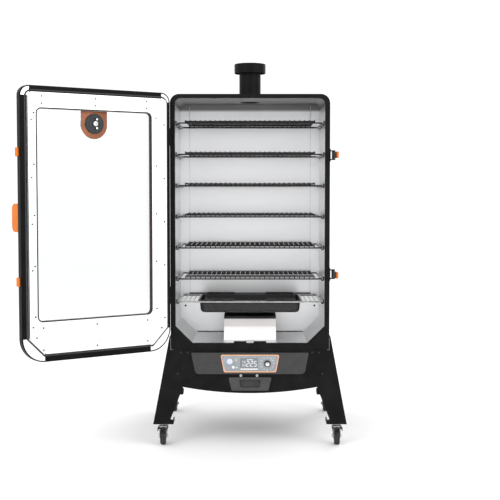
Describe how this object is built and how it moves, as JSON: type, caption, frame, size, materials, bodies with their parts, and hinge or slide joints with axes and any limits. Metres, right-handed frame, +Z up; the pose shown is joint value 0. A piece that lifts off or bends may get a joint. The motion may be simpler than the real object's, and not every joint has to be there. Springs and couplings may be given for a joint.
{
  "type": "cabinet smoker",
  "caption": "Tall insulated cabinet smoker on casters: glazed hinged door, wire racks, water pan, digital controller, rear pellet hopper and a roof chimney.",
  "frame": {"origin": "on the floor, at the centre of the four caster wheels' contact points", "axes": "+X to the right as seen from the front, +Y from the door to the hopper at the back, +Z up"},
  "size_m": [1.3119, 1.1487, 1.6],
  "materials": {
    "bright_wire": "polished",
    "button_white": "satin",
    "cast_pot": "matte",
    "caster_plastic": "satin",
    "caster_steel": "satin",
    "caster_tread": "matte",
    "console_paint": "satin",
    "controller_plastic": "matte",
    "copper_plate": "satin",
    "copper_trim": "satin",
    "dial_chrome": "polished",
    "display_glass": "gloss",
    "enamel": "gloss",
    "galvanised": "satin",
    "gasket": "matte",
    "mineral_wool": "matte",
    "needle_red": "satin",
    "orange_grip": "satin",
    "powder_coat": "satin",
    "rack_wire": "gloss",
    "screw_steel": "satin",
    "stainless": "polished",
    "window_glass": "clear",
    "window_trim": "satin"
  },
  "bodies": {
    "cabinet": {"outer_wrap": "powder_coat", "back_panel": "powder_coat", "base_pan": "powder_coat", "front_frame": "powder_coat", "chamber_lining": "stainless", "wall_insulation": "mineral_wool", "rack_rails": "stainless", "front_legs": "powder_coat", "rear_legs": "powder_coat", "base_skirts": "powder_coat", "console_panel": "console_paint", "controller": "controller_plastic", "display_lens": "display_glass", "probe_jacks": "controller_plastic", "heat_deflector": "stainless", "fire_pot": "cast_pot", "auger_tube": "galvanised", "hopper_box": "powder_coat", "drive_unit": "galvanised", "power_inlet": "controller_plastic", "flue_pipe": "powder_coat", "cabinet_hardware": "powder_coat"},
    "door": {"door_skin": "powder_coat", "door_lining": "stainless", "door_gasket": "gasket", "window_frame": "window_trim", "door_glass": "window_glass", "thermometer": "copper_plate", "door_handle": "orange_grip", "door_hardware": "powder_coat", "door_screws": "screw_steel"},
    "needle": {"thermometer_needle": "needle_red"},
    "chimney_cap": {"chimney_cap": "powder_coat"},
    "grease_drawer": {"grease_drawer": "powder_coat"},
    "water_pan": {"water_pan": "enamel"},
    "pan_rack": {"pan_rack": "bright_wire"},
    "hopper_lid": {"hopper_lid": "powder_coat"},
    "power_button": {"power_button": "button_white"},
    "prime_button": {"prime_button": "copper_trim"},
    "dial_knob": {"dial_knob": "dial_chrome"},
    "auger_screw": {"auger_screw": "galvanised"},
    "fan_wheel": {"fan_wheel": "galvanised"},
    "upper_latch": {"upper_latch_lever": "orange_grip"},
    "lower_latch": {"lower_latch_lever": "orange_grip"},
    "rack_1": {"rack_1": "rack_wire"},
    "rack_2": {"rack_2": "rack_wire"},
    "rack_3": {"rack_3": "rack_wire"},
    "rack_4": {"rack_4": "rack_wire"},
    "rack_5": {"rack_5": "rack_wire"},
    "rack_6": {"rack_6": "rack_wire"},
    "fork_front_left": {"caster_fork_front_left": "caster_steel"},
    "wheel_front_left": {"caster_wheel_front_left": "caster_tread"},
    "brake_front_left": {"brake_lever_front_left": "caster_plastic"},
    "fork_front_right": {"caster_fork_front_right": "caster_steel"},
    "wheel_front_right": {"caster_wheel_front_right": "caster_tread"},
    "brake_front_right": {"brake_lever_front_right": "caster_plastic"},
    "fork_rear_left": {"caster_fork_rear_left": "caster_steel"},
    "wheel_rear_left": {"caster_wheel_rear_left": "caster_tread"},
    "fork_rear_right": {"caster_fork_rear_right": "caster_steel"},
    "wheel_rear_right": {"caster_wheel_rear_right": "caster_tread"}
  },
  "joints": [
    {"name": "door_swing", "type": "hinge", "parent": "cabinet", "child": "door", "pos_m": [-0.328, -0.38, 0.95], "axis": [0, 0, 1], "range_deg": [-20, 145]},
    {"name": "needle_turn", "type": "hinge", "parent": "door", "child": "needle", "pos_m": [-0.62921, -0.55306, 1.316], "axis": [-0.5736, 0.8192, 0], "range_deg": [-130, 130]},
    {"name": "rack_1_slide", "type": "slide", "parent": "cabinet", "child": "rack_1", "axis": [0, 1, 0], "range_m": [-0.3, 0]},
    {"name": "rack_2_slide", "type": "slide", "parent": "cabinet", "child": "rack_2", "axis": [0, 1, 0], "range_m": [-0.3, 0]},
    {"name": "rack_3_slide", "type": "slide", "parent": "cabinet", "child": "rack_3", "axis": [0, 1, 0], "range_m": [-0.3, 0]},
    {"name": "rack_4_slide", "type": "slide", "parent": "cabinet", "child": "rack_4", "axis": [0, 1, 0], "range_m": [-0.3, 0]},
    {"name": "rack_5_slide", "type": "slide", "parent": "cabinet", "child": "rack_5", "axis": [0, 1, 0], "range_m": [-0.3, 0]},
    {"name": "rack_6_slide", "type": "slide", "parent": "cabinet", "child": "rack_6", "axis": [0, 1, 0], "range_m": [-0.3, 0]},
    {"name": "pan_rack_slide", "type": "slide", "parent": "cabinet", "child": "pan_rack", "axis": [0, 1, 0], "range_m": [-0.3, 0]},
    {"name": "water_pan_slide", "type": "slide", "parent": "pan_rack", "child": "water_pan", "axis": [0, 0, 1], "range_m": [0, 0.05]},
    {"name": "drawer_slide", "type": "slide", "parent": "cabinet", "child": "grease_drawer", "axis": [0, 1, 0], "range_m": [-0.2, 0]},
    {"name": "cap_lift", "type": "slide", "parent": "cabinet", "child": "chimney_cap", "axis": [0, 0, 1], "range_m": [-0.015, 0.012]},
    {"name": "lid_swing", "type": "hinge", "parent": "cabinet", "child": "hopper_lid", "pos_m": [0, 0.047, 0.864], "axis": [1, 0, 0], "range_deg": [0, 90]},
    {"name": "power_press", "type": "slide", "parent": "cabinet", "child": "power_button", "axis": [0, 1, 0], "range_m": [0, 0.0025], "stiffness_N_per_m": 400},
    {"name": "prime_press", "type": "slide", "parent": "cabinet", "child": "prime_button", "axis": [0, 1, 0], "range_m": [0, 0.002], "stiffness_N_per_m": 300},
    {"name": "dial_turn", "type": "hinge", "parent": "cabinet", "child": "dial_knob", "pos_m": [0.072, -0.38, 0.343], "axis": [0, -1, 0], "continuous": true},
    {"name": "auger_turn", "type": "hinge", "parent": "cabinet", "child": "auger_screw", "pos_m": [0, 0.1, 0.37], "axis": [0, 1, 0], "continuous": true},
    {"name": "fan_turn", "type": "hinge", "parent": "cabinet", "child": "fan_wheel", "pos_m": [0.12, 0.32, 0.34], "axis": [0, 1, 0], "continuous": true},
    {"name": "upper_latch_swing", "type": "hinge", "parent": "cabinet", "child": "upper_latch", "pos_m": [0.344, -0.345, 1.203], "axis": [0, 0, 1], "range_deg": [-9, 60]},
    {"name": "lower_latch_swing", "type": "hinge", "parent": "cabinet", "child": "lower_latch", "pos_m": [0.344, -0.345, 0.712], "axis": [0, 0, 1], "range_deg": [-9, 60]},
    {"name": "swivel_front_left", "type": "hinge", "parent": "cabinet", "child": "fork_front_left", "pos_m": [-0.362, -0.325, 0.08], "axis": [0, 0, 1], "continuous": true},
    {"name": "roll_front_left", "type": "hinge", "parent": "fork_front_left", "child": "wheel_front_left", "pos_m": [-0.362, -0.345, 0.036], "axis": [1, 0, 0], "continuous": true},
    {"name": "brake_front_left_press", "type": "hinge", "parent": "fork_front_left", "child": "brake_front_left", "pos_m": [-0.362, -0.335, 0.0725], "axis": [1, 0, 0], "range_deg": [0, 15]},
    {"name": "swivel_front_right", "type": "hinge", "parent": "cabinet", "child": "fork_front_right", "pos_m": [0.362, -0.325, 0.08], "axis": [0, 0, 1], "continuous": true},
    {"name": "roll_front_right", "type": "hinge", "parent": "fork_front_right", "child": "wheel_front_right", "pos_m": [0.362, -0.345, 0.036], "axis": [1, 0, 0], "continuous": true},
    {"name": "brake_front_right_press", "type": "hinge", "parent": "fork_front_right", "child": "brake_front_right", "pos_m": [0.362, -0.335, 0.0725], "axis": [1, 0, 0], "range_deg": [0, 15]},
    {"name": "swivel_rear_left", "type": "hinge", "parent": "cabinet", "child": "fork_rear_left", "pos_m": [-0.362, 0.325, 0.08], "axis": [0, 0, 1], "continuous": true},
    {"name": "roll_rear_left", "type": "hinge", "parent": "fork_rear_left", "child": "wheel_rear_left", "pos_m": [-0.362, 0.345, 0.036], "axis": [1, 0, 0], "continuous": true},
    {"name": "swivel_rear_right", "type": "hinge", "parent": "cabinet", "child": "fork_rear_right", "pos_m": [0.362, 0.325, 0.08], "axis": [0, 0, 1], "continuous": true},
    {"name": "roll_rear_right", "type": "hinge", "parent": "fork_rear_right", "child": "wheel_rear_right", "pos_m": [0.362, 0.345, 0.036], "axis": [1, 0, 0], "continuous": true}
  ]
}
